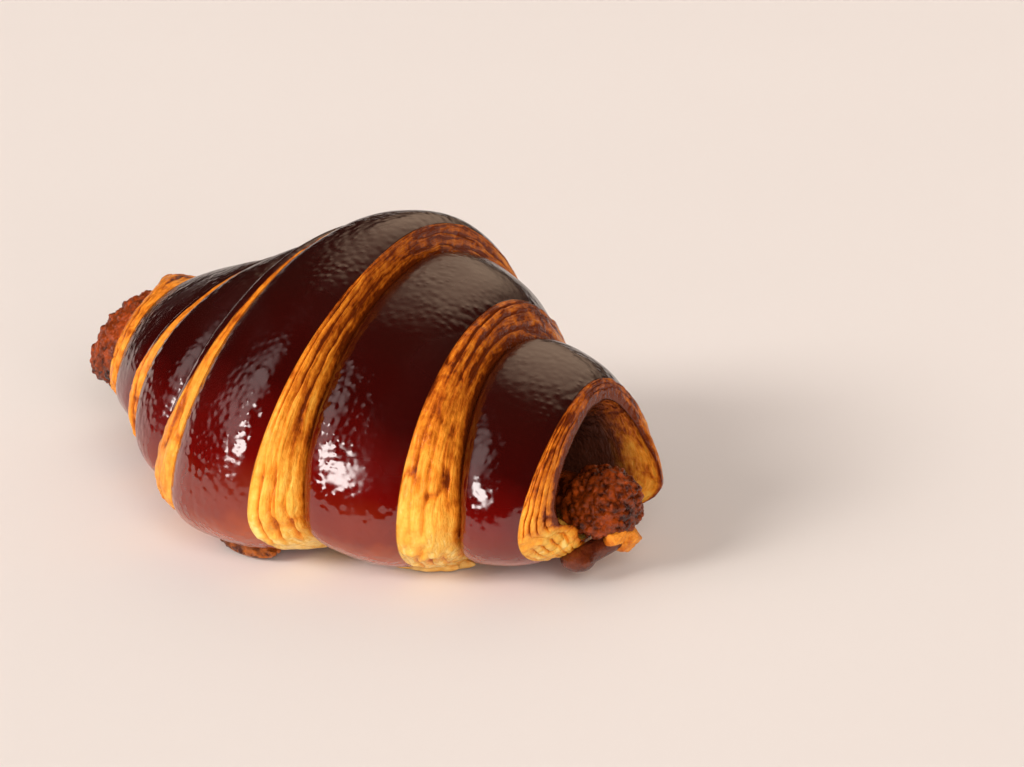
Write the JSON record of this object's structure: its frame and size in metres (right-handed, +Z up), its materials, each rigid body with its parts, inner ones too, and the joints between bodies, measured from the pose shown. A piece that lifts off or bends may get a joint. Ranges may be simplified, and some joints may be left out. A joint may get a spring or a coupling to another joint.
{
  "type": "speculoos croissant",
  "caption": "Straight rolled croissant with dark glazed turns, stepped laminated edges and a crumbly spiced-biscuit filling that shows at both tips.",
  "frame": {"origin": "middle of the bounding box on the plane the croissant rests on", "axes": "+X along the roll towards the tip with the open mouth, +Y to the back, +Z up"},
  "size_m": [0.1382, 0.0928, 0.058],
  "materials": {
    "glazed_dough": "baked two-tone laminated dough, dark red-brown skin under a clear syrup glaze, golden amber layers at the cut edges",
    "biscuit_cream": "crumbly brown spiced-biscuit cream with an orange biscuit chunk and a glossy melted drop"
  },
  "bodies": {
    "root": {"croissant_dough": "glazed_dough", "biscuit_filling": "biscuit_cream"}
  },
  "joints": []
}
